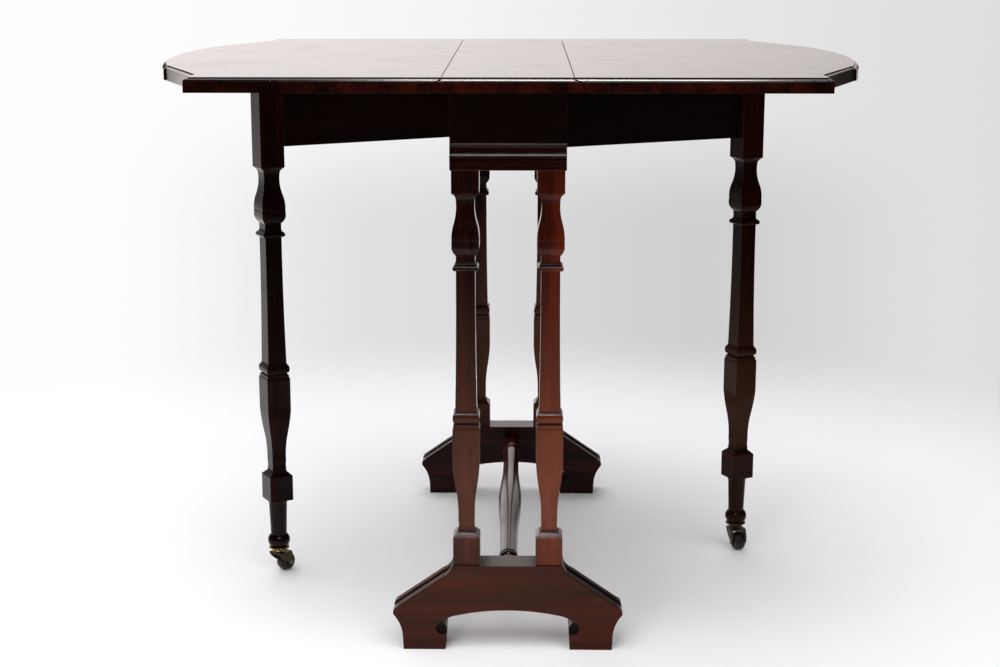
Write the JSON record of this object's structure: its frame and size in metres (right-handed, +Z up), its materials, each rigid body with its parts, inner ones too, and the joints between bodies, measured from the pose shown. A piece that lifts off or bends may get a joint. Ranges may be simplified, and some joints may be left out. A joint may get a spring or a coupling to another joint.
{
  "type": "sutherland table",
  "caption": "Drop-leaf Sutherland table standing open: narrow fixed top on slim trestle ends, wide moulded leaves on rule joints, each held up by a swinging gate leg on a caster.",
  "frame": {"origin": "on the floor under the middle of the table", "axes": "+X along the opened leaves, +Y along the fixed top towards the rear trestle, +Z up"},
  "size_m": [0.88, 0.762, 0.69],
  "materials": {
    "mahogany": "dark French-polished mahogany",
    "deal": "stained, unpolished secondary wood",
    "brass": "tarnished brass",
    "steel": "dull old steel",
    "wheel": "dark worn leather discs"
  },
  "bodies": {
    "frame": {"centre_top": "mahogany", "front_end_panel": "mahogany", "rear_end_panel": "mahogany", "front_end_rail": "mahogany", "rear_end_rail": "mahogany", "left_side_rail": "deal", "right_side_rail": "deal", "left_fixed_rail": "deal", "right_fixed_rail": "deal", "left_knuckle_pin": "steel", "right_knuckle_pin": "steel", "front_left_post": "mahogany", "front_right_post": "mahogany", "rear_left_post": "mahogany", "rear_right_post": "mahogany", "front_shoe": "mahogany", "rear_shoe": "mahogany", "stretcher": "mahogany", "glue_blocks": "deal", "left_top_hinge_flaps": "steel", "right_top_hinge_flaps": "steel", "left_hinge_pins": "steel", "right_hinge_pins": "steel", "left_top_hinge_screws": "steel", "right_top_hinge_screws": "steel"},
    "left_leaf": {"left_leaf": "mahogany", "left_leaf_hinge_flaps": "steel", "left_leaf_hinge_screws": "steel"},
    "left_gate": {"left_fly_rail": "mahogany", "left_gate_leg": "mahogany", "left_caster_collar": "brass"},
    "left_caster": {"left_caster_fork": "brass", "left_caster_axle": "steel"},
    "left_wheel": {"left_caster_wheel": "wheel"},
    "right_leaf": {"right_leaf": "mahogany", "right_leaf_hinge_flaps": "steel", "right_leaf_hinge_screws": "steel"},
    "right_gate": {"right_fly_rail": "mahogany", "right_gate_leg": "mahogany", "right_caster_collar": "brass"},
    "right_caster": {"right_caster_fork": "brass", "right_caster_axle": "steel"},
    "right_wheel": {"right_caster_wheel": "wheel"}
  },
  "joints": [
    {"name": "left_gate_swing", "type": "hinge", "parent": "frame", "child": "left_gate", "pos_m": [-0.0455, 0.075, 0.628], "axis": [0, 0, -1], "range_deg": [-61.5, 28.5]},
    {"name": "left_leaf_lift", "type": "hinge", "parent": "frame", "child": "left_leaf", "pos_m": [-0.073, 0, 0.6755], "axis": [0, 1, 0], "range_deg": [0, 3]},
    {"name": "left_caster_swivel", "type": "hinge", "parent": "left_gate", "child": "left_caster", "pos_m": [-0.31161, -0.06152, 0.03], "axis": [0, 0, 1], "continuous": true},
    {"name": "left_wheel_spin", "type": "hinge", "parent": "left_caster", "child": "left_wheel", "pos_m": [-0.30455, -0.05181, 0.0126], "axis": [-0.809, 0.5878, 0], "continuous": true},
    {"name": "right_gate_swing", "type": "hinge", "parent": "frame", "child": "right_gate", "pos_m": [0.0455, -0.075, 0.628], "axis": [0, 0, -1], "range_deg": [-64, 26]},
    {"name": "right_leaf_lift", "type": "hinge", "parent": "frame", "child": "right_leaf", "pos_m": [0.073, 0, 0.6755], "axis": [0, -1, 0], "range_deg": [0, 3]},
    {"name": "right_caster_swivel", "type": "hinge", "parent": "right_gate", "child": "right_caster", "pos_m": [0.31731, 0.04978, 0.03], "axis": [0, 0, 1], "continuous": true},
    {"name": "right_wheel_spin", "type": "hinge", "parent": "right_caster", "child": "right_wheel", "pos_m": [0.32021, 0.03814, 0.0126], "axis": [0.9703, 0.2419, 0], "continuous": true}
  ]
}
